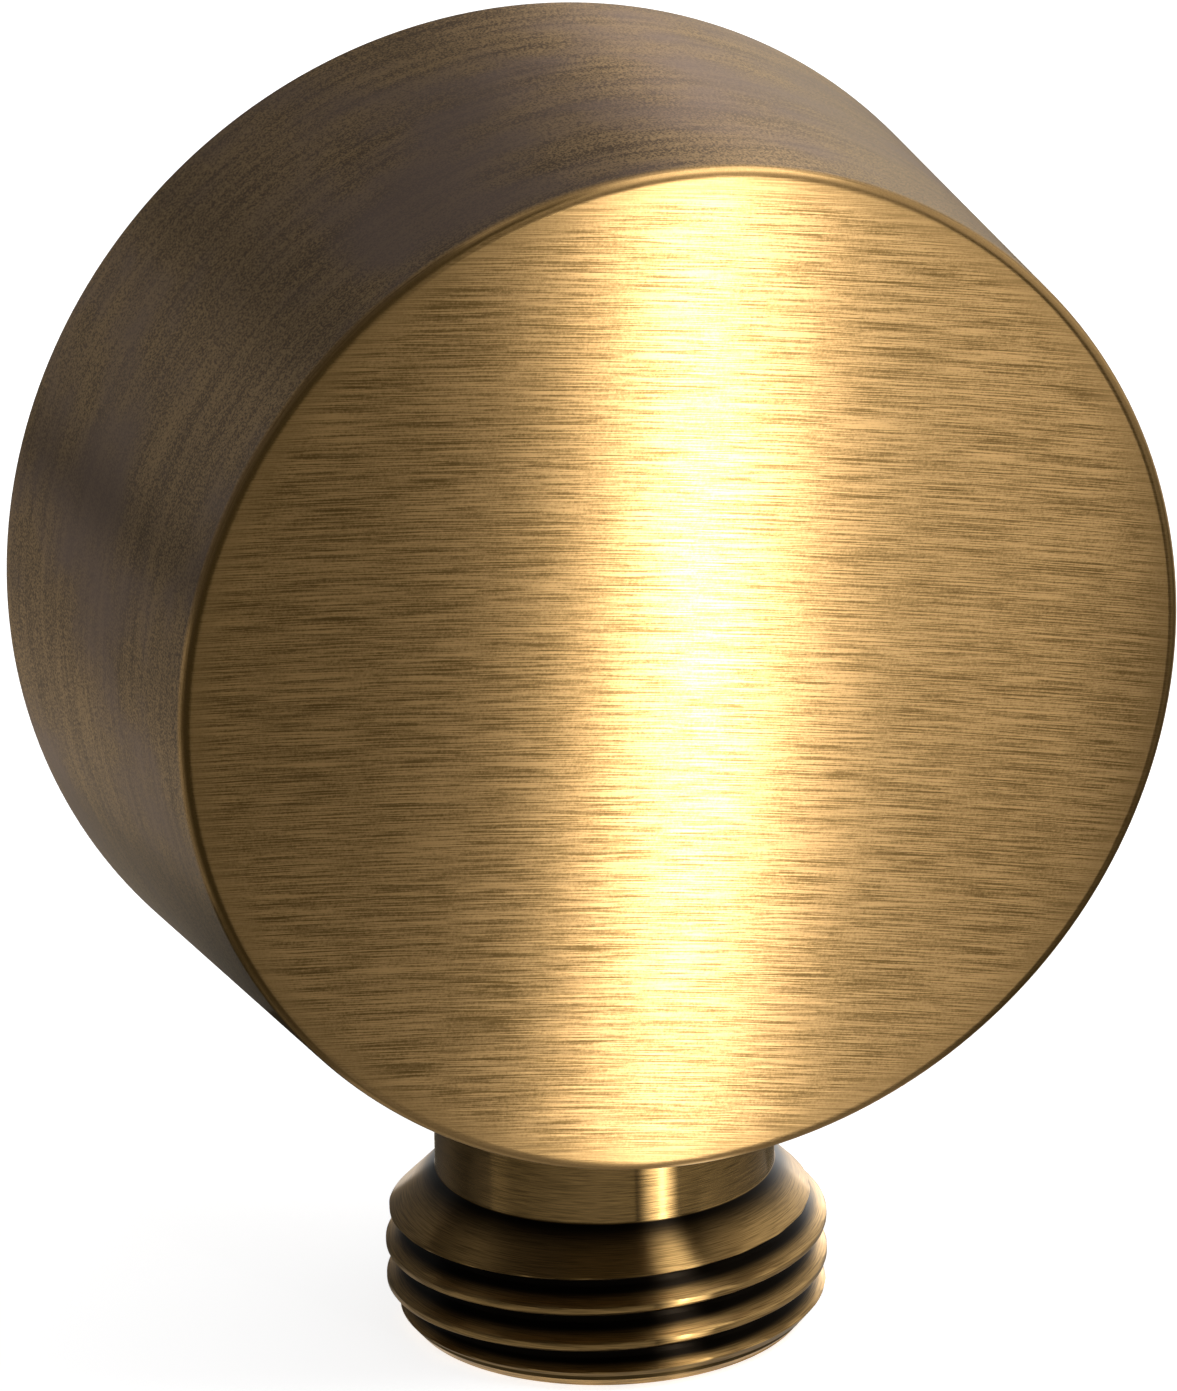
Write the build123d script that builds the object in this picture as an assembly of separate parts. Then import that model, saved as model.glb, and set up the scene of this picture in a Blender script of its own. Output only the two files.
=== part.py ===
"""Wall outlet elbow: a brass drum that screws into the wall and feeds a shower hose below it.

The origin is the middle of the wall face, +Z is up, the front face looks along -Y, the wall
stub points along +Y and the hose nipple points down. All lengths are in millimetres.
"""
import os
from math import ceil, radians, tan

from build123d import *

# Parallel pipe thread G 1/2, the same on the wall stub and on the hose nipple
thread_diameter = 20.955
thread_pitch = 1.814
thread_half_angle = 27.5
thread_cone_angle = 45.0  # where the thread rises from the neck, measured from the axis
thread_end_angle = 40.0  # the chamfer at the open end, measured from the axis
thread_end_margin = 0.05  # the open end lies this much under the bottom of the groove

# Drum
drum_back_diameter = 50.8
drum_taper = 1.4  # the front is smaller than the back by this much on the radius
drum_depth = 23.6
front_edge_break = 0.35
back_edge_break = 0.3
front_wall = 3.0  # metal between the drill point and the front face

# Wall stub
stub_length = 13.0
relief_width = 3.0  # plain neck between the wall face and the thread
relief_undercut = 0.3  # the relief lies this much under the bottom of the groove
stub_wall = 2.3
drill_point_angle = 118.0

# Hose nipple
neck_diameter = 16.1
neck_wall = 2.5
neck_showing = 3.3  # bare neck below the drum's widest edge
metal_behind_neck = 2.2
hose_thread_length = 7.7
hose_groove_lead = 1.71  # the thread's groove starts this far up the neck
spigot_length = 9.0  # the part of the nipple above the drum's widest edge

# Seal under the nipple's inner end
seal_thickness = 1.5
seal_clearance = 0.1
spigot_clearance = 0.05

# Thread form, a truncated 55 degree V with flats of a sixth of the pitch
thread_flat = thread_pitch / 6
flank_slope = tan(radians(thread_half_angle))
thread_depth = (thread_pitch / 2 - thread_flat) / flank_slope
crest_radius = thread_diameter / 2
root_radius = crest_radius - thread_depth
open_end_radius = root_radius - thread_end_margin

# Places along the wall axis (Y) and the nipple axis (Z)
back_radius = drum_back_diameter / 2
neck_radius = neck_diameter / 2
nipple_bore_radius = neck_radius - neck_wall
relief_radius = root_radius - relief_undercut
stub_bore_radius = relief_radius - stub_wall
drill_point_length = stub_bore_radius / tan(radians(drill_point_angle / 2))
nipple_y = -(metal_behind_neck + spigot_clearance + neck_radius)
nipple_top = spigot_length - back_radius
seat_floor = nipple_top + seal_thickness
neck_end = -(back_radius + neck_showing)
nipple_end = neck_end - hose_thread_length


def turned_about_y(outline):
    """Revolve an outline of (radius, y) points about the wall axis."""
    return revolve(make_face(Polyline(*outline, close=True)), Axis.Y)


def turned_about_z(outline):
    """Revolve an outline of (radius, z) points about Z and move it to the nipple axis."""
    return Pos(Y=nipple_y) * revolve(Plane.XZ * make_face(Polyline(*outline, close=True)), Axis.Z)


def threaded_end(neck, start, direction, length):
    """Outline of a threaded end: out of the neck up a cone, along the crest, down the end chamfer."""
    rise = (crest_radius - neck) / tan(radians(thread_cone_angle))
    chamfer_height = (crest_radius - open_end_radius) / tan(radians(thread_end_angle))
    return [
        (neck, start),
        (crest_radius, start + direction * rise),
        (crest_radius, start + direction * (length - chamfer_height)),
        (open_end_radius, start + direction * length),
    ]


def groove_turn():
    """One right-hand turn of the thread's groove about Z, with faces ruled between four helices."""
    tool_radius = crest_radius + thread_pitch / 4  # the tool reaches past the crest
    tool_half_width = thread_flat / 2 + (tool_radius - root_radius) * flank_slope
    section = [
        (tool_radius, -tool_half_width),
        (tool_radius, tool_half_width),
        (root_radius, thread_flat / 2),
        (root_radius, -thread_flat / 2),
    ]
    helices = [Edge.make_helix(thread_pitch, thread_pitch, radius, center=(0, 0, z)) for radius, z in section]
    next_helices = helices[1:] + helices[:1]
    sides = [Face.make_surface_from_curves(a, b) for a, b in zip(helices, next_helices)]
    ends = [Face(Wire.make_polygon([helix @ t for helix in helices], close=True)) for t in (0, 1)]
    return Solid(Shell(sides + ends))


def grooved(piece, start, length):
    """Cut the thread's groove into a piece, turn by turn, along the Z axis of the place where it starts."""
    turn = groove_turn()
    for number in range(ceil(length / thread_pitch) + 1):
        piece -= start * Pos(Z=number * thread_pitch) * turn
    return piece


def outlet_body():
    """Drum and wall stub turned in one, with the thread, the waterway and the nipple's seat cut into them."""
    outline = [
        (0, -drum_depth),
        (back_radius - drum_taper, -drum_depth),
        (back_radius, 0),
        (relief_radius, 0),
        *threaded_end(relief_radius, relief_width, 1, stub_length - relief_width),
        (0, stub_length),
    ]
    body = turned_about_y(outline)
    front_rim = body.edges().filter_by(GeomType.CIRCLE).sort_by(Axis.Y)[0]
    body = chamfer(front_rim, front_edge_break)
    back_rim = body.edges().filter_by(GeomType.CIRCLE).sort_by(SortBy.RADIUS)[-1]
    body = chamfer(back_rim, back_edge_break)
    groove_start = relief_width / 2
    body = grooved(body, Pos(Y=groove_start) * Rot(X=-90), stub_length - groove_start)

    drill_point = front_wall - drum_depth
    inlet = [
        (0, drill_point),
        (stub_bore_radius, drill_point + drill_point_length),
        (stub_bore_radius, stub_length),
        (0, stub_length),
    ]
    body -= turned_about_y(inlet)

    waterway = [(0, 0), (nipple_bore_radius, 0), (nipple_bore_radius, seat_floor), (0, seat_floor)]
    seat_radius = neck_radius + spigot_clearance
    seat = [(0, seat_floor), (seat_radius, seat_floor), (seat_radius, neck_end), (0, neck_end)]
    body -= turned_about_z(waterway)
    body -= turned_about_z(seat)
    return body


def hose_nipple():
    """Nipple turned from bar: spigot, neck, cone, thread and bore."""
    outline = [
        (nipple_bore_radius, nipple_top),
        (neck_radius, nipple_top),
        *threaded_end(neck_radius, neck_end, -1, hose_thread_length),
        (nipple_bore_radius, nipple_end),
    ]
    groove_start = Pos(Y=nipple_y, Z=neck_end + hose_groove_lead) * Rot(X=180)
    return grooved(turned_about_z(outline), groove_start, hose_groove_lead + hose_thread_length)


def nipple_seal():
    """Flat ring between the nipple's inner end and the floor of its seat."""
    outer = neck_radius - seal_clearance
    outline = [
        (nipple_bore_radius, nipple_top),
        (outer, nipple_top),
        (outer, seat_floor),
        (nipple_bore_radius, seat_floor),
    ]
    return turned_about_z(outline)


os.makedirs("parts", exist_ok=True)
for make_piece in (outlet_body, hose_nipple, nipple_seal):
    export_step(make_piece(), f"parts/{make_piece.__name__}.step")
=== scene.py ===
# %% [markdown]
# A wall outlet elbow for a shower hose, in brushed antique brass.
#
# The real one is two turned pieces: a heavy drum that closes on the wall, with a threaded stub on its back,
# and a threaded nipple screwed into its underside, where the hose goes on. A flat seal sits between the two.
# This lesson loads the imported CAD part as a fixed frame, turns the two metal pieces again with rounded edges
# and full threads, gives them their finishes, and lights them as a small studio would. Blender works in
# metres, so lengths are written in millimetres times mm.

# %% Load the frame
from math import cos, pi, radians, sin, tan

import bmesh
import bpy
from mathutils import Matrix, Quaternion, Vector


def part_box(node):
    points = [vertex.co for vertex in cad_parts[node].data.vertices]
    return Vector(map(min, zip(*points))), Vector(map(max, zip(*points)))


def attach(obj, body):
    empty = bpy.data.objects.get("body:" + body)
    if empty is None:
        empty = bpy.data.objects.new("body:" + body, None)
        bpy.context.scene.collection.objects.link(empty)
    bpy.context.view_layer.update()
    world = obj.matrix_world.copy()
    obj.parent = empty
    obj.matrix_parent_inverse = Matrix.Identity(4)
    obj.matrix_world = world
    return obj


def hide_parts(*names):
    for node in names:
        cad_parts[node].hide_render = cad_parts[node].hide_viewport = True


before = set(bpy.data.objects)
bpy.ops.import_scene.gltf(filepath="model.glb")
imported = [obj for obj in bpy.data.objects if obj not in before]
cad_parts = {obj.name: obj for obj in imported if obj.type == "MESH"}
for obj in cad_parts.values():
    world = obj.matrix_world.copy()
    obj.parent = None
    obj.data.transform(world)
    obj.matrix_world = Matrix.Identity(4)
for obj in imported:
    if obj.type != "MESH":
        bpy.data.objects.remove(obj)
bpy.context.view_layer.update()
mm = 0.001
drum_low, drum_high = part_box("outlet_body")
nipple_low, nipple_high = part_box("hose_nipple")
seal_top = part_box("nipple_seal")[1].z

# %% [markdown]
# Node trees are built in code below, so a few small helpers save much typing. The first adds a node, chooses
# its settings and fills its inputs, each with a plain value or with the output of an earlier node. The next
# two do one step of arithmetic, on numbers or on vectors, because threads and brush marks are written as
# formulas. The last mixes two numbers, vectors or colours: one node does all three, through other sockets.

# %% Helpers for node trees
def put(tree, kind, inputs=None, **settings):
    """Add a node, set its settings, and fill its inputs with values or with other nodes' outputs."""
    node = tree.nodes.new(kind)
    for name, value in settings.items():
        setattr(node, name, value)
    for key, value in (inputs or {}).items():
        if isinstance(value, bpy.types.NodeSocket):
            tree.links.new(value, node.inputs[key])
        else:
            node.inputs[key].default_value = value
    return node


def sums(tree, operation, *values):
    """One step of arithmetic on numbers."""
    return put(tree, "ShaderNodeMath", dict(enumerate(values)), operation=operation).outputs[0]


def arrows(tree, operation, *values):
    """One step of arithmetic on vectors."""
    return put(tree, "ShaderNodeVectorMath", dict(enumerate(values)), operation=operation).outputs[0]


def mix(tree, kind, share, one, other):
    """A mix of two numbers, vectors or colours: one where the share is 0, the other where it is 1."""
    first, result = {"FLOAT": (2, 0), "VECTOR": (4, 1), "RGBA": (6, 2)}[kind]
    inputs = {0: share, first: one, first + 1: other}
    return put(tree, "ShaderNodeMix", inputs, data_type=kind).outputs[result]


print("helpers ready:", ", ".join(helper.__name__ for helper in (put, sums, arrows, mix)))

# %% [markdown]
# Both brass pieces come off a lathe, so each is an outline turned about an axis. A Screw modifier would turn
# the outline, but it can't cut the thread. Here a Geometry Nodes tree does both: it carries the outline round
# a circle, then moves every point to the smaller of two radii, the outline's own and the thread's at that
# height and angle. The tree has named inputs, so that one lathe serves every piece. This cell makes the
# inputs only.

# %% The lathe's inputs
lathe = bpy.data.node_groups.new("lathe", "GeometryNodeTree")
lathe.interface.new_socket("Turned", in_out="OUTPUT", socket_type="NodeSocketGeometry")
lathe_inputs = {
    "Outline": "Geometry", "Facets Round": "Int", "Row Step": "Float", "Thread Row Step": "Float",
    "Thread From": "Float", "Thread To": "Float", "Pitch": "Float", "Crest Radius": "Float",
    "Root Radius": "Float", "Flank Slope": "Float", "Crest Round": "Float", "Groove Height": "Float",
    "Tilt": "Rotation", "Place": "Vector", "Finish": "Material",
}
for name, kind in lathe_inputs.items():
    lathe.interface.new_socket(name, in_out="INPUT", socket_type="NodeSocket" + kind)
given = put(lathe, "NodeGroupInput").outputs
print("lathe inputs:", ", ".join(lathe_inputs))

# %% [markdown]
# First the outline. The tool's small edge rounds come from Fillet Curve, with a radius written on each corner
# of the outline. A Bevel modifier on the finished piece could round it too, but it would also round every
# turn of the thread.

# %% Round the outline's corners
corner_facets = 8
rounded = put(lathe, "GeometryNodeFilletCurve", {
    "Curve": given["Outline"], "Count": corner_facets, "Limit Radius": True,
    "Radius": put(lathe, "GeometryNodeInputRadius").outputs[0]}, mode="POLY").outputs[0]
print("corners rounded with", corner_facets, "facets each")

# %% [markdown]
# A thread needs close rows of points, and a plain wall needs few. So each stretch of the outline is divided
# by itself, closely where the thread runs and loosely elsewhere, and the mesh stays light: the number of
# cuts is the stretch's length over the row step. One even spacing would be simpler, but five times as heavy.

# %% Divide the outline into rows
here = put(lathe, "GeometryNodeInputPosition").outputs[0]
index = put(lathe, "GeometryNodeInputIndex").outputs[0]
next_point = put(lathe, "GeometryNodeOffsetPointInCurve", {"Point Index": index, "Offset": 1})
there = put(lathe, "GeometryNodeFieldAtIndex", {
    "Index": next_point.outputs["Point Index"], "Value": here}, data_type="FLOAT_VECTOR").outputs[0]
stretch = put(lathe, "ShaderNodeVectorMath", {0: here, 1: there}, operation="DISTANCE").outputs["Value"]
middle = put(lathe, "ShaderNodeSeparateXYZ", {0: arrows(lathe, "ADD", here, there)}).outputs["Z"]
middle_height = sums(lathe, "MULTIPLY", middle, 0.5)


def on_thread(height):
    """1 where a height lies on the threaded stretch, 0 elsewhere."""
    above = sums(lathe, "GREATER_THAN", height, given["Thread From"])
    return sums(lathe, "MULTIPLY", above, sums(lathe, "LESS_THAN", height, given["Thread To"]))


row_step = mix(lathe, "FLOAT", on_thread(middle_height), given["Row Step"], given["Thread Row Step"])
cuts = sums(lathe, "FLOOR", sums(lathe, "DIVIDE", stretch, row_step))
rows = put(lathe, "GeometryNodeSubdivideCurve", {"Curve": rounded, "Cuts": cuts}).outputs[0]
print("lathe nodes so far:", len(lathe.nodes))

# %% [markdown]
# Next the turning. Curve to Mesh carries the outline round a circle. The Spin operator would give the same
# shell, but not what the thread needs to know. Here each point keeps two things on the way: its own place on
# the outline, and how far round the circle it is, from 0 to 1.

# %% Carry the outline round a circle
keep_outline = put(lathe, "GeometryNodeCaptureAttribute", {"Geometry": rows})
keep_outline.capture_items.new("VECTOR", "Outline Point")
lathe.links.new(here, keep_outline.inputs["Outline Point"])
circle = put(lathe, "GeometryNodeCurvePrimitiveCircle", {"Resolution": given["Facets Round"], "Radius": 1.0})
keep_turn = put(lathe, "GeometryNodeCaptureAttribute", {"Geometry": circle.outputs[0]})
keep_turn.capture_items.new("FLOAT", "Turn")
round_share = put(lathe, "GeometryNodeSplineParameter").outputs["Factor"]
lathe.links.new(round_share, keep_turn.inputs["Turn"])
swept = put(lathe, "GeometryNodeCurveToMesh", {
    "Curve": keep_turn.outputs["Geometry"], "Profile Curve": keep_outline.outputs["Geometry"]}).outputs[0]
turn = keep_turn.outputs["Turn"]
outline_point = put(lathe, "ShaderNodeSeparateXYZ", {0: keep_outline.outputs["Outline Point"]}).outputs
radius, height = outline_point["X"], outline_point["Z"]
print("lathe nodes so far:", len(lathe.nodes))

# %% [markdown]
# The thread is a groove that climbs one pitch in each turn. A cutter swept along a helix and taken away with
# a Boolean would cut it as a real die does, but leaves long thin faces, so a formula moves the points. At any
# point, the distance to the nearest groove is the height less the climb, brought into one pitch by taking
# the fraction. From the groove's flat bottom the flank rises at the thread's own slope until it meets the
# crest. Smooth minimum and maximum round the root and the crest, as a worn die leaves them. How deep a point
# lies in the groove is stored, because the finish darkens there.

# %% Cut the thread
flat_share = 1 / 6  # the flats at root and crest, as a share of the pitch
spare_turns = 100.5  # whole turns keep the count above zero, and the half centres it on the groove
turns = sums(lathe, "DIVIDE", sums(lathe, "SUBTRACT", height, given["Groove Height"]), given["Pitch"])
turns = sums(lathe, "ADD", sums(lathe, "SUBTRACT", turns, turn), spare_turns)
off_groove = sums(lathe, "ABSOLUTE", sums(lathe, "SUBTRACT", sums(lathe, "FRACT", turns), 0.5))
from_groove = sums(lathe, "MULTIPLY", off_groove, given["Pitch"])
half_root_flat = sums(lathe, "MULTIPLY", given["Pitch"], flat_share / 2)
climb = sums(lathe, "DIVIDE", sums(lathe, "SUBTRACT", from_groove, half_root_flat), given["Flank Slope"])
flank = sums(lathe, "ADD", given["Root Radius"], climb)
root_cut = sums(lathe, "SMOOTH_MAX", flank, given["Root Radius"], given["Crest Round"])
thread_radius = sums(lathe, "SMOOTH_MIN", root_cut, given["Crest Radius"], given["Crest Round"])
smaller = sums(lathe, "MINIMUM", radius, thread_radius)
cut_radius = mix(lathe, "FLOAT", on_thread(height), radius, smaller)
thread_height = sums(lathe, "SUBTRACT", given["Crest Radius"], given["Root Radius"])
groove_depth = sums(lathe, "DIVIDE", sums(lathe, "SUBTRACT", radius, cut_radius), thread_height)
print("lathe nodes so far:", len(lathe.nodes))

# %% [markdown]
# Last, every point goes to its radius and angle, points that fall together at the axis are merged, and the
# whole is laid along its own axis. Realize Instances and Set Material end the tree, because the export needs
# a plain mesh.

# %% Place the points and finish the tree
merge_gap = 0.001 * mm
angle = sums(lathe, "MULTIPLY", turn, 2 * pi)
turned_place = put(lathe, "ShaderNodeCombineXYZ", {
    "X": sums(lathe, "MULTIPLY", cut_radius, sums(lathe, "COSINE", angle)),
    "Y": sums(lathe, "MULTIPLY", cut_radius, sums(lathe, "SINE", angle)), "Z": height}).outputs[0]
work = put(lathe, "GeometryNodeSetPosition", {"Geometry": swept, "Position": turned_place}).outputs[0]
work = put(lathe, "GeometryNodeStoreNamedAttribute", {
    "Geometry": work, "Name": "groove_depth", "Value": groove_depth}, data_type="FLOAT").outputs[0]
work = put(lathe, "GeometryNodeMergeByDistance", {"Geometry": work, "Distance": merge_gap}).outputs[0]
work = put(lathe, "GeometryNodeTransform", {
    "Geometry": work, "Translation": given["Place"], "Rotation": given["Tilt"]}).outputs[0]
work = put(lathe, "GeometryNodeSetShadeSmooth", {"Geometry": work}).outputs[0]
work = put(lathe, "GeometryNodeRealizeInstances", {"Geometry": work}).outputs[0]
work = put(lathe, "GeometryNodeSetMaterial", {"Geometry": work, "Material": given["Finish"]}).outputs[0]
put(lathe, "NodeGroupOutput", {"Turned": work})
print("lathe finished with", len(lathe.nodes), "nodes")

# %% [markdown]
# The thread is the same on both pieces: G 1/2, the size of every shower hose, a 55 degree thread. Its crest
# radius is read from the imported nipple, so the dressed part keeps the CAD part's size.

# %% The thread's sizes
thread = {
    "Pitch": 1.814 * mm,
    "Crest Radius": (nipple_high.x - nipple_low.x) / 2,
    "Flank Slope": tan(radians(27.5)),
    "Crest Round": 0.15 * mm,
}
thread_depth = thread["Pitch"] * (0.5 - flat_share) / thread["Flank Slope"]
crest, root = thread["Crest Radius"], thread["Crest Radius"] - thread_depth
thread["Root Radius"] = root
open_end = root - 0.05 * mm
end_chamfer = (crest - open_end) / tan(radians(40))
print("thread depth in mm:", round(thread_depth / mm, 3))

# %% [markdown]
# A piece starts as a bare curve with the outline's points. The lathe hangs on it as a modifier, with its
# inputs set by the sockets' identifiers before anything is evaluated, and the result becomes a plain mesh
# with no modifier left. A live modifier would turn the piece as well, but the export wants plain meshes.

# %% Turn one piece
def turn_piece(name, outline, closed, finish, **sizes):
    """Turn an outline of (radius, height, edge round) points into a plain mesh object."""
    curve = bpy.data.curves.new(name + "_outline", "CURVE")
    curve.dimensions = "3D"
    spline = curve.splines.new("POLY")
    spline.points.add(len(outline) - 1)
    for point, (point_radius, point_height, edge_round) in zip(spline.points, outline):
        point.co = (point_radius, 0, point_height, 1)
        point.radius = edge_round
    spline.use_cyclic_u = closed
    blank = bpy.data.objects.new(name + "_blank", curve)
    bpy.context.scene.collection.objects.link(blank)
    turning = blank.modifiers.new("turning", "NODES")
    turning.node_group = lathe
    sockets = {item.name: item.identifier for item in lathe.interface.items_tree if item.in_out == "INPUT"}
    usual = {"Facets Round": 240, "Row Step": 1.0 * mm, "Thread Row Step": 0.08 * mm, "Finish": finish}
    for socket_name, value in {**usual, **thread, **sizes}.items():
        turning[sockets[socket_name]] = value
    blank.update_tag()
    graph = bpy.context.evaluated_depsgraph_get()
    mesh = bpy.data.meshes.new_from_object(blank.evaluated_get(graph))
    mesh.name = name
    bpy.data.objects.remove(blank)
    piece = bpy.data.objects.new(name, mesh)
    bpy.context.scene.collection.objects.link(piece)
    return piece


print("turning ready:", turn_piece.__name__)

# %% [markdown]
# A turned shell can come out inside out, and smooth shading would blur true corners. The next helper turns
# the faces outwards where the shell's volume is negative, marks corners as sharp, and counts open edges,
# which should be none: metal has no holes in its skin.

# %% Close up one piece
sharp_corner = radians(35)


def close_up(piece):
    """Point all faces outwards, keep true corners sharp, and print what the piece measures."""
    shell = bmesh.new()
    shell.from_mesh(piece.data)
    if shell.calc_volume(signed=True) < 0:
        bmesh.ops.reverse_faces(shell, faces=shell.faces)
    volume = shell.calc_volume(signed=True) / mm**3
    open_edges = sum(1 for edge in shell.edges if len(edge.link_faces) != 2)
    shell.to_mesh(piece.data)
    shell.free()
    piece.data.shade_smooth()
    piece.data.set_sharp_from_angle(angle=sharp_corner)
    print(piece.name, len(piece.data.polygons), "faces,", round(volume), "mm3,", open_edges, "open edges")


print("closing up ready:", close_up.__name__)

# %% [markdown]
# The finishes need a few helpers of their own: a new empty material, a vector times a number, a vector's
# size, noise on stretched coordinates, a soft step from one value to another, a sum of weighted values, and a
# low relief. All patterns read Object coordinates, which stay with the metal when the camera moves.

# %% Helpers for finishes
def new_finish(name):
    """An empty material, its node tree, and the place of each point on the object."""
    material = bpy.data.materials.new(name)
    material.use_nodes = True
    tree = material.node_tree
    tree.nodes.clear()
    return material, tree, put(tree, "ShaderNodeTexCoord").outputs["Object"]


def scaled(tree, vector, factor):
    """A vector times a number."""
    return put(tree, "ShaderNodeVectorMath", {0: vector, "Scale": factor}, operation="SCALE").outputs[0]


def size_of(tree, vector):
    """How long a vector is."""
    return put(tree, "ShaderNodeVectorMath", {0: vector}, operation="LENGTH").outputs["Value"]


def grain(tree, stretched_place, seed, detail=2.0):
    """Noise on coordinates that are already divided by the size of the marks."""
    return put(tree, "ShaderNodeTexNoise", {
        "Vector": stretched_place, "W": seed, "Scale": 1.0, "Detail": detail, "Roughness": 0.6},
        noise_dimensions="4D").outputs["Fac"]


def mapped(tree, value, low, high, to_low, to_high):
    """A soft step: to_low below low, to_high above high, and a smooth change between."""
    return put(tree, "ShaderNodeMapRange", {
        "Value": value, "From Min": low, "From Max": high, "To Min": to_low, "To Max": to_high},
        interpolation_type="SMOOTHSTEP").outputs["Result"]


def weighed(tree, *parts):
    """A sum of values, each times its weight."""
    total = 0.0
    for value, weight in parts:
        total = sums(tree, "MULTIPLY_ADD", value, weight, total)
    return total


def low_relief(tree, marks, depth):
    """The surface's direction where marks of a given depth tilt it a little."""
    relief = {"Strength": 0.3, "Distance": depth, "Height": marks}
    return put(tree, "ShaderNodeBump", relief).outputs[0]


print("finish helpers ready:", ", ".join(
    helper.__name__ for helper in (new_finish, scaled, size_of, grain, mapped, weighed, low_relief)))

# %% [markdown]
# Turning leaves fine marks round the axis of a piece, on the drum's side as on the nipple. Noise that is
# stretched round the axis gives them, and a UV map isn't needed for it. Marks drawn only by the height along
# the axis would become spokes on a flat end, where that height doesn't change. So a share of the distance
# from the axis is added to the height, and flat ends get rings, as a lathe tool cuts them. The same share
# tilts the direction across the marks, which the gloss needs later.

# %% Marks round an axis
def about_axis(tree, place, axis, end_share):
    """How points lie about an axis: outward from it, how far, and what runs across the turned marks."""
    flat_place = arrows(tree, "MULTIPLY", place, [1 - part for part in axis])
    outward = arrows(tree, "NORMALIZE", flat_place)
    from_axis = size_of(tree, flat_place)
    along = put(tree, "ShaderNodeVectorMath", {0: place, 1: axis}, operation="DOT_PRODUCT").outputs["Value"]
    return {
        "axis": axis, "flat place": flat_place, "outward": outward, "from axis": from_axis,
        "across": sums(tree, "MULTIPLY_ADD", from_axis, end_share, along),
        "way across": arrows(tree, "ADD", axis, scaled(tree, outward, end_share))}


def turned_marks(tree, lie, radius, long, short):
    """Coordinates for noise in marks of a given length and width, round a surface of a given radius."""
    around = scaled(tree, lie["outward"], radius / long)
    along = scaled(tree, lie["axis"], sums(tree, "DIVIDE", lie["across"], short))
    return arrows(tree, "ADD", around, along)


print("turned marks ready:", about_axis.__name__, turned_marks.__name__)

# %% [markdown]
# The drum's finish. Antique brass is darkened all over and then brushed, so bright brass shows along the
# strokes and the dark stays between them. Round the side and on the wall face the strokes follow the turning.
# On the front they run across, and since an arm swings about its elbow, each is a flat arc about a point an
# arm's length below. Two materials could meet at the rim, but one is simpler to blend there: it finds the
# front by the depth behind the front plane, and this cell only says where a point lies for each face.

# %% Where a point lies on the drum
drum_front, stub_end, drum_edge = drum_low.y, drum_high.y, drum_high.x
front_radius, rim_round = 24.0 * mm, 0.5 * mm
drum_brass, tree, place = new_finish("brushed_drum_brass")
depth = sums(tree, "SUBTRACT", put(tree, "ShaderNodeSeparateXYZ", {0: place}).outputs["Y"], drum_front)
on_flat = mapped(tree, depth, 0.02 * mm, 0.15 * mm, 1.0, 0.0)
on_front = mapped(tree, depth, 0.2 * rim_round, 1.2 * rim_round, 1.0, 0.0)
drum_axis = (0.0, 1.0, 0.0)
on_drum = about_axis(tree, place, drum_axis, end_share=0.6)

elbow, arm = (-50 * mm, 0.0, -326 * mm), 330 * mm
from_elbow = arrows(tree, "SUBTRACT", on_drum["flat place"], elbow)
arm_reach = size_of(tree, from_elbow)
elbow_axes = put(tree, "ShaderNodeSeparateXYZ", {0: from_elbow}).outputs
sweep = sums(tree, "MULTIPLY", sums(tree, "ARCTAN2", elbow_axes["X"], elbow_axes["Z"]), arm)
print("the brush swings", round(arm / mm), "mm from the elbow")

# %% [markdown]
# Now the marks themselves. A photograph of brushed metal would be quick, but it repeats and stretches, so
# each kind of mark is noise of its own size: fine lines, longer dashes, broad smears, a speckle without
# direction where the bath left grains, and slow clouds, which lay a painted violet reflection on the side.

# %% The drum's brush marks
def drum_strokes(long, short, seed, detail=2.0):
    """Noise drawn out along the strokes: swung from the elbow on the front, round on the side."""
    swung_place = put(tree, "ShaderNodeCombineXYZ", {
        "X": sums(tree, "DIVIDE", sweep, long), "Z": sums(tree, "DIVIDE", arm_reach, short)}).outputs[0]
    side_place = turned_marks(tree, on_drum, drum_edge, long, short)
    return grain(tree, mix(tree, "VECTOR", on_flat, side_place, swung_place), seed, detail)


speckle_size, cloud_size = 0.11 * mm, (14 * mm, 9 * mm, 9 * mm)
fine = drum_strokes(long=2.0 * mm, short=0.035 * mm, seed=1.0)
dashes = drum_strokes(long=5.0 * mm, short=0.06 * mm, seed=7.0)
smears = drum_strokes(long=9.0 * mm, short=0.5 * mm, seed=13.0)
speckle = grain(tree, scaled(tree, place, 1 / speckle_size), seed=5.0, detail=1.0)
violet_reflection_clouds = grain(tree, arrows(tree, "DIVIDE", place, cloud_size), seed=3.0, detail=3.0)
print("drum marks laid out:", len(tree.nodes), "nodes")

# %% [markdown]
# Colour next. On the front the marks decide how much dark patina lies over the bright brass, with less
# contrast near the rim, where handling has rubbed the marks away. The side is painted a darker brown than the
# front, as painted shade for the dark room that it mirrors, with darker patina in the smears and speckles,
# and clouds of violet that are a painted reflection of cool light.

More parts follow.
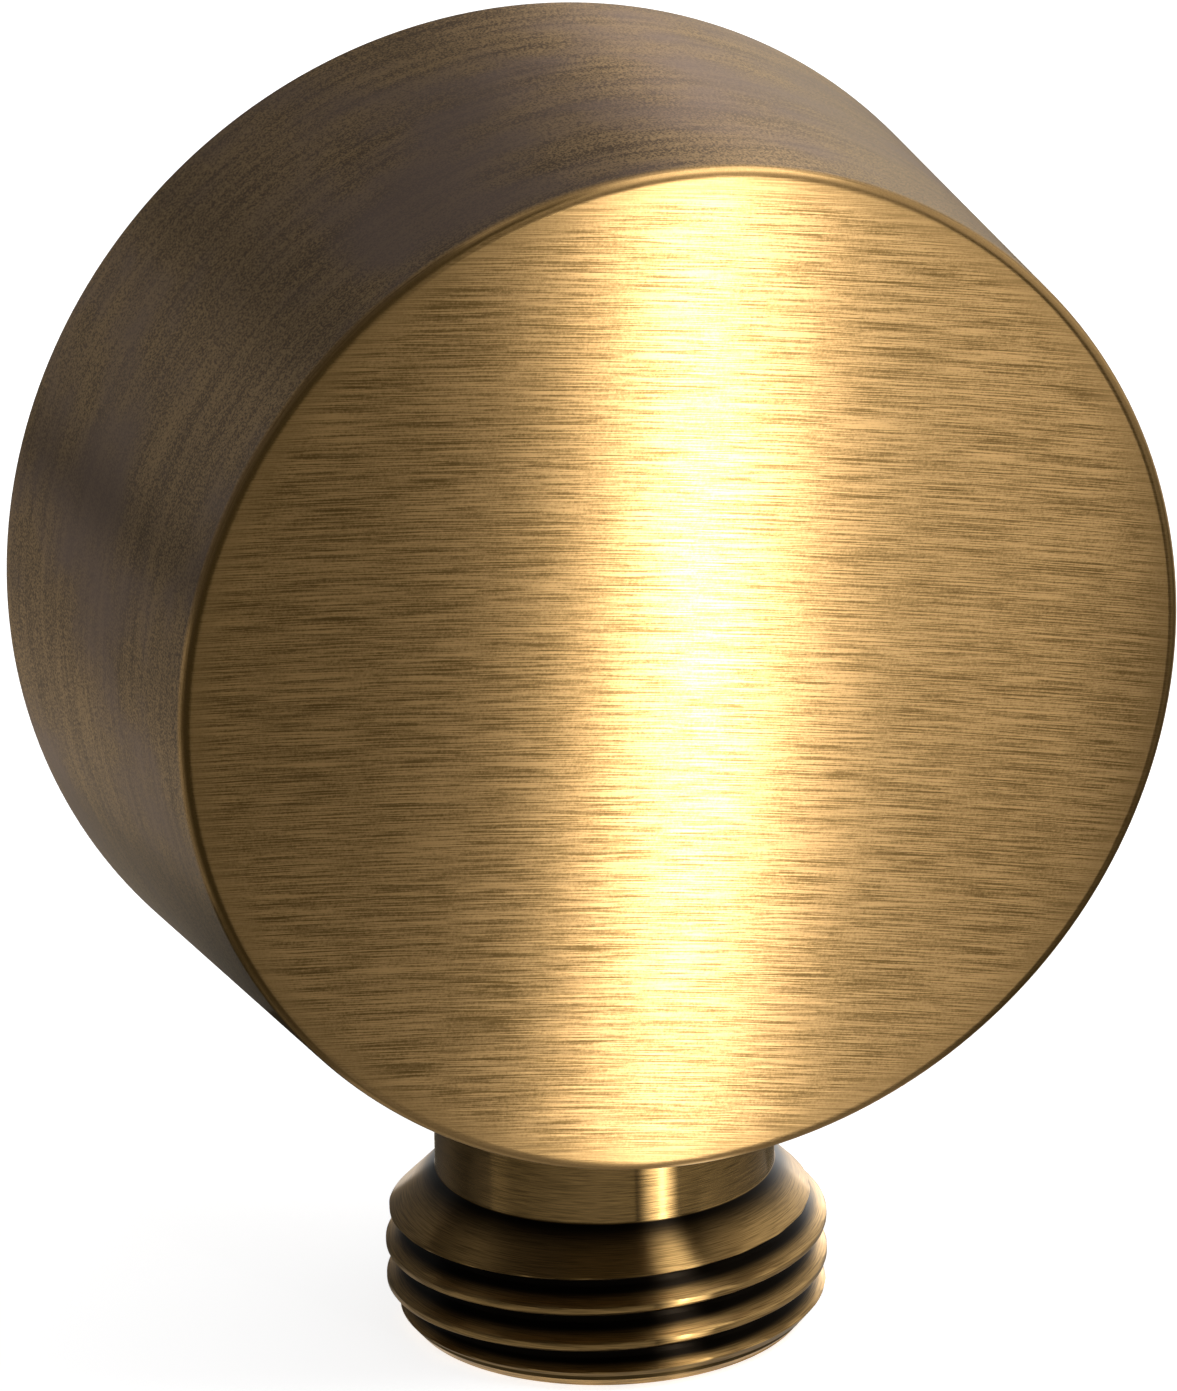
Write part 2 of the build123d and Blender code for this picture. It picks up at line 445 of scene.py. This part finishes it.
# %% The drum's colours
bright_brass, dark_brass = (0.52, 0.32, 0.13, 1), (0.15, 0.089, 0.028, 1)
marks = weighed(tree, (fine, 0.4), (dashes, 0.6), (smears, 0.15), (speckle, 0.15))
patina = mapped(tree, marks, 0.56, 0.75, 0.0, 1.0)
rubbed_patina = 0.45
rubbed_from, rubbed_to = front_radius - 2.0 * mm, front_radius - 0.5 * mm
inside_rim = mapped(tree, on_drum["from axis"], rubbed_from, rubbed_to, 1.0, 0.4)
front_patina = mix(tree, "FLOAT", inside_rim, rubbed_patina, patina)
front_colour = mix(tree, "RGBA", front_patina, bright_brass, dark_brass)

# painted shade: the side's browns are a darker copy of the front's brass, for the dark room that the side
# mirrors; smears and speckles add patina
shaded_side_brown, shaded_side_dark = (0.235, 0.158, 0.084, 1), (0.078, 0.053, 0.036, 1)
# painted reflection: a violet tone for cool light that the side mirrors
side_painted_violet_reflection = (0.13, 0.094, 0.082, 1)
side_patina = mapped(tree, weighed(tree, (smears, 0.3), (speckle, 0.7)), 0.42, 0.58, 0.0, 1.0)
shaded_side_colour = mix(tree, "RGBA", side_patina, shaded_side_brown, shaded_side_dark)
# painted reflection: slow clouds lay the violet over the side's brown
painted_reflection_share = mapped(tree, violet_reflection_clouds, 0.42, 0.64, 0.0, 0.75)
shaded_side_colour = mix(tree, "RGBA", painted_reflection_share, shaded_side_colour, side_painted_violet_reflection)
drum_colour = mix(tree, "RGBA", on_front, shaded_side_colour, front_colour)
print("drum colours mixed:", len(tree.nodes), "nodes")

# %% [markdown]
# Gloss last. Brushed metal mirrors sharply along a stroke and smears the light across it. Thousands of real
# scratches would do that, but so does the Principled shader when it is strongly anisotropic. Its Tangent is
# the direction in which the light smears, so it points across the strokes: away from the elbow on the front,
# along the axis on the side. Real strokes are never quite parallel, and a small sway of the tangent gives the
# highlight its soft edges.

# %% The way across the drum's strokes
front_across = arrows(tree, "NORMALIZE", from_elbow)
front_along = arrows(tree, "CROSS_PRODUCT", drum_axis, front_across)
side_along = arrows(tree, "CROSS_PRODUCT", on_drum["outward"], drum_axis)
across_stroke = mix(tree, "VECTOR", on_flat, on_drum["way across"], front_across)
along_stroke = mix(tree, "VECTOR", on_flat, side_along, front_along)
stroke_sway = 0.2
sway_marks = drum_strokes(long=4.0 * mm, short=0.1 * mm, seed=11.0, detail=1.0)
sway = sums(tree, "MULTIPLY_ADD", sway_marks, stroke_sway, -stroke_sway / 2)
drum_tangent = arrows(tree, "ADD", across_stroke, scaled(tree, along_stroke, sway))
print("strokes sway by at most", stroke_sway / 2, "to either side")

# %% [markdown]
# The side is rougher than the front, which was brushed last, and a low bump makes the strokes catch the light
# one by one. On metal, Specular Tint colours what is mirrored at a glancing angle: a warm tint keeps the side
# brown towards its far edge. What is the same all over the metal is set on the shader's own socket.

# %% The drum's gloss
stroke_depth = 0.003 * mm
drum_bump = low_relief(tree, fine, stroke_depth)
even_roughness = mapped(tree, on_front, 0.0, 1.0, 0.37, 0.26)
drum_roughness = sums(tree, "MULTIPLY_ADD", fine, 0.06, even_roughness)
drum_shader = put(tree, "ShaderNodeBsdfPrincipled", {
    "Base Color": drum_colour, "Metallic": 1.0, "Roughness": drum_roughness, "Anisotropic": 0.99,
    "Specular Tint": (0.92, 0.84, 0.72, 1), "Tangent": drum_tangent, "Normal": drum_bump})
put(tree, "ShaderNodeOutputMaterial", {"Surface": drum_shader.outputs[0]})
print("drum finish:", len(tree.nodes), "nodes")

# %% [markdown]
# The nipple was turned, not brushed by hand: its marks run round it, fine and even. The darkening bath stays
# in the grooves, and hoses have rubbed the crests bright, so its colour follows the groove depth that the
# lathe stored. Pointiness or an occlusion node could find the grooves too, but the stored depth is exact.
# A painted shade also darkens the corner where the cone leaves the neck, found by the height below the neck.

# %% The nipple's colours
nipple_y = (nipple_low.y + nipple_high.y) / 2
neck_radius, neck_end = 8.05 * mm, nipple_low.z + 7.7 * mm
nipple_brass, tree, place = new_finish("turned_nipple_brass")
nipple_axis = (0.0, 0.0, 1.0)
nipple_place = arrows(tree, "SUBTRACT", place, (0, nipple_y, 0))
on_nipple = about_axis(tree, nipple_place, nipple_axis, end_share=-0.6)
fine = grain(tree, turned_marks(tree, on_nipple, neck_radius, long=1.5 * mm, short=0.04 * mm), seed=2.0)
sunk = put(tree, "ShaderNodeAttribute", attribute_name="groove_depth").outputs["Fac"]
in_groove = mapped(tree, sunk, 0.12, 0.75, 0.0, 1.0)
below_neck = sums(tree, "SUBTRACT", neck_end, put(tree, "ShaderNodeSeparateXYZ", {0: place}).outputs["Z"])
on_cone = mapped(tree, below_neck, -0.05 * mm, 0.05 * mm, 0.0, 1.0)
# painted shade: a dark band in the corner under the neck, for the drum's dark underside mirrored there and its
# shade
painted_corner_shade = sums(tree, "MULTIPLY", on_cone, mapped(tree, below_neck, 0.1 * mm, 1.4 * mm, 1.0, 0.0))
groove_patina_and_corner_shade = sums(tree, "MAXIMUM", in_groove, painted_corner_shade)

worn_brass, turned_patina = (0.46, 0.285, 0.105, 1), (0.2, 0.122, 0.042, 1)
# one black for the patina in the grooves and for the painted shade in the cone's corner
patina_and_shade_black = (0.012, 0.009, 0.006, 1)
worn_colour = mix(tree, "RGBA", mapped(tree, fine, 0.35, 0.7, 0.0, 1.0), worn_brass, turned_patina)
nipple_colour = mix(tree, "RGBA", groove_patina_and_corner_shade, worn_colour, patina_and_shade_black)
print("nipple colours mixed:", len(tree.nodes), "nodes")

# %% [markdown]
# The nipple's gloss is made as the drum's is, with one direction less: its marks all run round one axis. The
# neck is the smoothest, the cone and the thread are a little duller, and the black of the grooves and of the
# painted corner shade is dullest.

# %% The nipple's gloss
worn_roughness = mapped(tree, on_cone, 0.0, 1.0, 0.24, 0.3)
nipple_roughness = mix(tree, "FLOAT", groove_patina_and_corner_shade, worn_roughness, 0.45)
nipple_bump = low_relief(tree, fine, stroke_depth)
nipple_shader = put(tree, "ShaderNodeBsdfPrincipled", {
    "Base Color": nipple_colour, "Metallic": 1.0, "Roughness": nipple_roughness, "Anisotropic": 0.99,
    "Tangent": on_nipple["way across"], "Normal": nipple_bump})
put(tree, "ShaderNodeOutputMaterial", {"Surface": nipple_shader.outputs[0]})
print("nipple finish:", len(tree.nodes), "nodes")

# %% [markdown]
# The drum's outline runs from the drill point at the bottom of the waterway out along the bore, round the
# threaded stub, down the flat wall face and along the tapered side to the front. A cylinder with bevels could
# stand for the drum, but an outline holds the taper, the stub and the bore in one. The third number of each
# point is its edge round. Two plain points beside the front rim keep the face and the side flat up to it.

# %% Turn the drum
stub_bore = root - 2.6 * mm
relief_radius, relief_width = root - 0.3 * mm, 3.0 * mm
drill_point = drum_front + 3.0 * mm
drill_half_angle = radians(59)
back_break = 0.3 * mm
taper = (drum_edge - front_radius) / (-back_break - drum_front)
rim_guard = rim_round + 0.05 * mm
drum_outline = [
    (0.0, drill_point, 0.0),
    (stub_bore, drill_point + stub_bore / tan(drill_half_angle), 0.0),
    (stub_bore, stub_end, 0.2 * mm),
    (open_end, stub_end, 0.15 * mm),
    (crest, stub_end - end_chamfer, 0.2 * mm),
    (crest, relief_width + crest - relief_radius, 0.2 * mm),
    (relief_radius, relief_width, 0.2 * mm),
    (relief_radius, 0.0, 0.3 * mm),
    (drum_edge - back_break, 0.0, 0.1 * mm),
    (drum_edge, -back_break, 0.1 * mm),
    (front_radius + taper * rim_guard, drum_front + rim_guard, 0.0),
    (front_radius, drum_front, rim_round),
    (front_radius - rim_guard, drum_front, 0.0),
    (0.0, drum_front, 0.0),
]
drum = turn_piece("brushed_drum", drum_outline, False, drum_brass, **{
    "Thread From": relief_width / 2, "Thread To": stub_end + 1 * mm, "Groove Height": relief_width / 2,
    "Tilt": (-pi / 2, 0, 0)})
close_up(drum)

# %% [markdown]
# The nipple's seat and the waterway above it are bored into the drum's underside, across its own axis, so
# turning can't make them. A stepped plug is turned on the nipple's axis and taken away from the drum with a
# Boolean, as a drill would, and the plug is thrown away.

# %% Bore the drum for the nipple
seat_mouth = -drum_edge - 1 * mm
seat_radius, waterway_radius = neck_radius + 0.05 * mm, neck_radius - 2.5 * mm
plug_outline = [
    (0.0, 0.0, 0.0),
    (waterway_radius, 0.0, 0.0),
    (waterway_radius, seal_top, 0.0),
    (seat_radius, seal_top, 0.0),
    (seat_radius, seat_mouth, 0.0),
    (0.0, seat_mouth, 0.0),
]
plug = turn_piece("seat_plug", plug_outline, False, drum_brass, **{
    "Place": (0, nipple_y, 0), "Thread From": 1.0, "Thread To": 1.0, "Groove Height": 0.0})
close_up(plug)
boring = drum.modifiers.new("boring", "BOOLEAN")
boring.object = plug
boring.solver = "EXACT"
bored = bpy.data.meshes.new_from_object(drum.evaluated_get(bpy.context.evaluated_depsgraph_get()))
drum.modifiers.clear()
drum.data = bored
bpy.data.objects.remove(plug)
close_up(drum)
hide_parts("outlet_body")
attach(drum, "root")

# %% [markdown]
# The nipple: a plain spigot that goes up into the drum, a short bare neck, a cone out to the thread, the
# thread itself, the chamfer at the open end and the bore back up. The same lathe turns it. Its outline closes
# on itself, so that its ends need no caps.

# %% Turn the nipple
nipple_outline = [
    (waterway_radius, nipple_high.z, 0.15 * mm),
    (neck_radius, nipple_high.z, 0.2 * mm),
    (neck_radius, neck_end, 0.2 * mm),
    (crest, neck_end - (crest - neck_radius), 0.15 * mm),
    (crest, nipple_low.z + end_chamfer, 0.15 * mm),
    (open_end, nipple_low.z, 0.2 * mm),
    (waterway_radius, nipple_low.z, 0.25 * mm),
]
first_groove = neck_end + 1.71 * mm  # sets where round the cone the thread runs out
nipple = turn_piece("threaded_nipple", nipple_outline, True, nipple_brass, **{
    "Place": (0, nipple_y, 0), "Thread From": nipple_low.z - 1 * mm, "Thread To": neck_end,
    "Groove Height": first_groove})
close_up(nipple)
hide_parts("hose_nipple")
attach(nipple, "root")

# %% [markdown]
# The flat seal is a plain ring. It could be turned as well, but its CAD mesh is already right, so it keeps
# that mesh and only gets a finish: matt black rubber with a fine moulded grain. It can't be seen once the
# nipple is in, but it shows in a section.

# %% The seal's finish
seal_rubber, tree, place = new_finish("matt_seal_rubber")
pore_size, pore_depth = 0.25 * mm, 0.01 * mm
pores = grain(tree, scaled(tree, place, 1 / pore_size), seed=1.0)
rubber_colour = mix(tree, "RGBA", pores, (0.018, 0.018, 0.018, 1), (0.035, 0.034, 0.033, 1))
rubber_bump = low_relief(tree, pores, pore_depth)
rubber_roughness = mapped(tree, pores, 0.3, 0.7, 0.6, 0.75)
rubber_shader = put(tree, "ShaderNodeBsdfPrincipled", {
    "Base Color": rubber_colour, "Roughness": rubber_roughness, "Normal": rubber_bump})
put(tree, "ShaderNodeOutputMaterial", {"Surface": rubber_shader.outputs[0]})
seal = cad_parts["nipple_seal"]
seal.data.materials.clear()
seal.data.materials.append(seal_rubber)
print("seal finish on", seal.name)

# %% [markdown]
# The camera stands where the photographer's did: a little to the left and above, half a metre away, with a
# long lens. Its place came from fitting the drum's two circles and the thread to their outlines. The sensor
# is read along the picture's long side, which is its height.

# %% The camera
view_azimuth, view_elevation, view_roll = radians(-18.2155), radians(19.1438), radians(-1.2979)
view_distance = 494.4 * mm
aim = Vector((-0.855 * mm, -12.0 * mm, -4.682 * mm))
camera_data = bpy.data.cameras.new("camera")
camera_data.lens = 270.31
camera_data.sensor_width = 36.0
camera_data.clip_start, camera_data.clip_end = 0.01, 20.0
camera = bpy.data.objects.new("camera", camera_data)
bpy.context.scene.collection.objects.link(camera)
camera.location = view_distance * Vector((
    sin(view_azimuth) * cos(view_elevation), -cos(view_azimuth) * cos(view_elevation), sin(view_elevation)))
camera.rotation_mode = "QUATERNION"
look = (aim - camera.location).to_track_quat("-Z", "Y")
camera.rotation_quaternion = look @ Quaternion((0, 0, 1), view_roll)
bpy.context.scene.camera = camera
print("camera at", [round(c / mm, 1) for c in camera.location], "mm")

# %% [markdown]
# The floor and the cards of the studio are flat sheets. A helper makes one, and two more give the corners of
# a sheet that lies on the floor or stands on it. A plane could be added, moved and turned for each, but four
# corners say plainly where a sheet is.

# %% Helpers for the studio
floor_height = nipple_low.z - 0.05 * mm


def studio_sheet(name, corners, paint):
    """A flat sheet that belongs to the studio and not to the part."""
    mesh = bpy.data.meshes.new(name)
    mesh.from_pydata(corners, [], [(0, 1, 2, 3)])
    mesh.materials.append(paint)
    sheet = bpy.data.objects.new(name, mesh)
    bpy.context.scene.collection.objects.link(sheet)
    return sheet


def lying(x_from, x_to, y_from, y_to, lift):
    """Corners of a sheet that lies a small lift over the floor."""
    low = floor_height + lift
    return [(x_from, y_from, low), (x_to, y_from, low), (x_to, y_to, low), (x_from, y_to, low)]


def standing(x_from, y_from, x_to, y_to, top):
    """Corners of a sheet that stands on the floor, from one place to another."""
    low = floor_height
    return [(x_from, y_from, low), (x_to, y_to, low), (x_to, y_to, top), (x_from, y_from, top)]


print("floor at", round(floor_height / mm, 2), "mm")

# %% [markdown]
# Floor and backdrop are white. A floor that is only painted white would need much light, which would also
# fall on the brass, so the floor and the world carry part of their white as light of their own. Light Path
# gives it only to rays from the camera and to mirrored and transmitted rays: the metal mirrors the white, yet
# is not lit by it, and the floor keeps its shadow.

# %% Floor and backdrop
def seen_white(tree):
    """1 for rays from the camera and for mirrored or transmitted rays, 0 for the rest."""
    path = put(tree, "ShaderNodeLightPath").outputs
    mirrored = sums(tree, "MAXIMUM", path["Is Glossy Ray"], path["Is Transmission Ray"])
    return sums(tree, "MAXIMUM", path["Is Camera Ray"], mirrored)


white = (1, 1, 1, 1)
floor_glow, floor_reach = 0.75, 4.0
floor_paint, tree, place = new_finish("pale_floor")
paint = put(tree, "ShaderNodeBsdfDiffuse", {"Color": (0.8, 0.8, 0.8, 1)}).outputs[0]
glow_strength = sums(tree, "MULTIPLY", seen_white(tree), floor_glow)
glow = put(tree, "ShaderNodeEmission", {"Color": white, "Strength": glow_strength}).outputs[0]
painted_glow = put(tree, "ShaderNodeAddShader", {0: paint, 1: glow}).outputs[0]
put(tree, "ShaderNodeOutputMaterial", {"Surface": painted_glow})
studio_sheet("floor", lying(-floor_reach, floor_reach, -floor_reach, floor_reach, 0.0), floor_paint)

world = bpy.data.worlds.new("studio")
bpy.context.scene.world = world
world.use_nodes = True
sky = world.node_tree
sky.nodes.clear()
soft_fill = 0.4
sky_strength = mix(sky, "FLOAT", seen_white(sky), soft_fill, 1.0)
backdrop = put(sky, "ShaderNodeBackground", {"Color": white, "Strength": sky_strength}).outputs[0]
put(sky, "ShaderNodeOutputWorld", {"Surface": backdrop})
print("floor glow", floor_glow, "and soft fill", soft_fill)

# %% [markdown]
# Lamps. The front face mirrors what lies low in front of it to the right, so a small lamp there makes the
# tall bright band on the brushed face. A broad dim lamp beside it lets the band fade slowly to the right. A
# soft box above, to the right, lights the top of the drum and draws a bright line on its rim. One large lamp
# would be plainer, but it would flood the whole face.

# %% Lamps
def soft_lamp(name, place, target, size, power):
    """An area lamp that looks from its place to a target and is itself never seen by the camera."""
    data = bpy.data.lights.new(name, "AREA")
    data.shape = "RECTANGLE"
    data.size, data.size_y = size
    data.energy = power
    lamp = bpy.data.objects.new(name, data)
    bpy.context.scene.collection.objects.link(lamp)
    lamp.location = place
    lamp.rotation_mode = "QUATERNION"
    lamp.rotation_quaternion = (Vector(target) - Vector(place)).to_track_quat("-Z", "Y")
    lamp.visible_camera = False
    print(name, "lamp of", power, "W at", [round(c / mm) for c in place], "mm")


face_middle = (0, drum_front, 0)
soft_lamp("band", (35.5 * mm, -123 * mm, -30 * mm), face_middle, (5 * mm, 4 * mm), 0.028)
soft_lamp("fade", (50.0 * mm, -123 * mm, -38 * mm), face_middle, (24 * mm, 60 * mm), 0.0165)
soft_lamp("top", (0.27, -0.21, 0.54), (0, 0, 0), (0.45, 0.22), 2.2)

# %% [markdown]
# Metal shows the room around it. In an all-white room the brass would look like pale plastic, so a
# photographer sets grey cards around it for the metal to mirror. A picture of a studio wrapped round the
# scene would do the same, but cards need no file and can be moved one by one. Only mirrored rays see them,
# so the camera never shows one, and each glows with its own shade, so the lamps don't change it. A card's
# shade may change in soft steps from left to right.

# %% A grey card
def grey_card(name, corners, shade, tint=white, steps=()):
    """A flat card that only the metal sees; each soft step from one x to another changes its shade."""
    card_paint, card_tree, card_place = new_finish(name + "_paint")
    for x_from, x_to, change in steps:
        card_x = put(card_tree, "ShaderNodeSeparateXYZ", {0: card_place}).outputs["X"]
        shade = sums(card_tree, "ADD", shade, mapped(card_tree, card_x, x_from, x_to, 0.0, change))
    card_glow = put(card_tree, "ShaderNodeEmission", {"Color": tint, "Strength": shade}).outputs[0]
    put(card_tree, "ShaderNodeOutputMaterial", {"Surface": card_glow})
    card = studio_sheet(name, corners, card_paint)
    card.visible_camera = False
    card.visible_diffuse = False
    card.visible_shadow = False
    print(name, "with", len(steps), "steps of shade")


print("cards ready:", grey_card.__name__)

# %% [markdown]
# Dark cards stand in front and on the left, so that the shaded half of the face stays deep; those in front
# are a little warm, like the wood of a table. The cards on the floor are brighter towards the back, where the
# lower side of the drum looks.

# %% Cards in front, on the left and on the floor
room, ceiling = 0.9, 3.0
warm = (1, 0.95, 0.68, 1)
lift, high_lift = 0.5 * mm, 0.8 * mm
grey_card("front_floor_card", lying(-room, room, -room, 15 * mm, lift), 0.08, warm)
grey_card("front_card", standing(-room, -room, room, -room, ceiling), 0.08, warm)
grey_card("foot_card", lying(-22 * mm, 22 * mm, -60 * mm, -5 * mm, high_lift), 0.42)
grey_card("near_back_floor_card", lying(-room, room, 15 * mm, 60 * mm, lift), 1.45)
grey_card("side_floor_card", lying(-120 * mm, -50 * mm, -20 * mm, 15 * mm, high_lift), 0.7)
grey_card("back_floor_card", lying(-room, room, 60 * mm, room, lift), 0.85)
grey_card("left_front_card", standing(-room, -room, -room, 0.0, ceiling), 0.1)
grey_card("left_back_card", standing(-room, 0.0, -room, room, ceiling), 0.2)

# %% [markdown]
# Behind, the cards are bright at the left and brightest at the right, with a darker stretch between, and a
# tall dark card rises above them. The drum's side mirrors them in that order, from its left over its top.

# %% Cards behind
behind_room = 0.95
grey_card("back_dark_card", standing(-behind_room, behind_room, behind_room, behind_room, ceiling), 0.15)
grey_card("back_left_card", standing(-room, room, -0.45, room, 0.45), 0.7, steps=[(-0.8, -0.6, 1.45)])
grey_card("back_card", standing(-0.45, room, 0.25, room, 1.2), 2.15, steps=[(-0.42, -0.2, -1.45)])
grey_card("back_right_card", standing(0.25, room, room, room, 0.6), 0.7, steps=[(0.25, 0.55, 3.6)])

# %% [markdown]
# Two small cards stand close to the nipple. A dark one at its left keeps that side of the cone and the neck
# deep. A bright one in front draws the light streak on the neck. It stands behind the plane of the front
# face, so that the face never mirrors it. Larger cards farther away would change the drum as well.

# %% Cards by the nipple
grey_card("nipple_flag", standing(-22 * mm, -12 * mm, -8 * mm, 6 * mm, -22.5 * mm), 0.05)
grey_card("neck_card", standing(-1.1 * mm, -21.85 * mm, 4.4 * mm, -23.55 * mm, -25 * mm), 0.1, steps=[
    (-1.0 * mm, 1.2 * mm, 3.2), (2.1 * mm, 4.3 * mm, -3.2)])

# %% [markdown]
# The picture shows plain colours, so the view transform is Standard.

# %% View settings
bpy.context.scene.view_settings.view_transform = "Standard"
